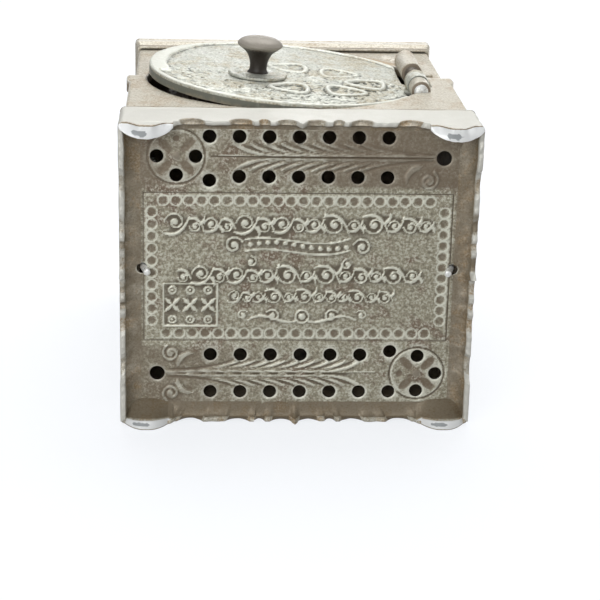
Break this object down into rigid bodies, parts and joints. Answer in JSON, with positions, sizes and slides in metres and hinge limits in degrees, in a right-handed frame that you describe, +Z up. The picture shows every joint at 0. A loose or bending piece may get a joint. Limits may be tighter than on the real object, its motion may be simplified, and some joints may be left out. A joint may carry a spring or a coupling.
{
  "type": "toy safe coin bank",
  "caption": "Cast-iron toy safe money box with a coin slot in its top, a pierced base on corner feet and a round hinged door with a knob lock.",
  "frame": {"origin": "middle of the base on the plane of its feet", "axes": "+Z up through the top, -Y out of the door, +X towards the hinge side"},
  "size_m": [0.09, 0.0909, 0.1102],
  "materials": {
    "worn_iron": "nickel plate worn to brown iron",
    "worn_nickel": "aged nickel plate on cast iron",
    "door_nickel": "aged nickel plate on relief casting",
    "dark_iron": "dark handled iron",
    "sheet_iron": "dull sheet iron",
    "steel": "worn steel"
  },
  "bodies": {
    "case": {"base": "worn_iron", "left_side": "worn_nickel", "right_side": "worn_nickel", "back_plate": "worn_nickel", "front_frame": "worn_nickel", "top_plate": "worn_nickel", "left_tie_rod": "steel", "right_tie_rod": "steel", "hinge_pin": "steel", "strike_plate": "sheet_iron", "strike_rivets": "steel"},
    "door": {"door_plate": "door_nickel", "lock_case": "sheet_iron", "lock_case_screws": "steel", "detent_spring": "steel", "detent_rivet": "steel", "spindle_washer": "steel"},
    "knob": {"dial": "door_nickel", "knob": "dark_iron", "spindle": "steel", "crank": "sheet_iron", "crank_pin": "steel"},
    "bolt": {"bolt": "steel"}
  },
  "joints": [
    {"name": "door_hinge", "type": "hinge", "parent": "case", "child": "door", "pos_m": [0.0342, -0.0386, 0.0562], "axis": [0, 0, 1], "range_deg": [-4.2, 105]},
    {"name": "knob_turn", "type": "hinge", "parent": "door", "child": "knob", "pos_m": [-0.00931, -0.04009, 0.0567], "axis": [0.0732, -0.9973, 0], "range_deg": [0, 90]},
    {"name": "bolt_slide", "type": "slide", "parent": "door", "child": "bolt", "axis": [-0.9973, -0.0732, 0], "range_m": [0, 0.005]}
  ],
  "couplings": [
    {"joint": "bolt_slide", "follows": "knob_turn", "m_per_rad": 0.00318}
  ]
}
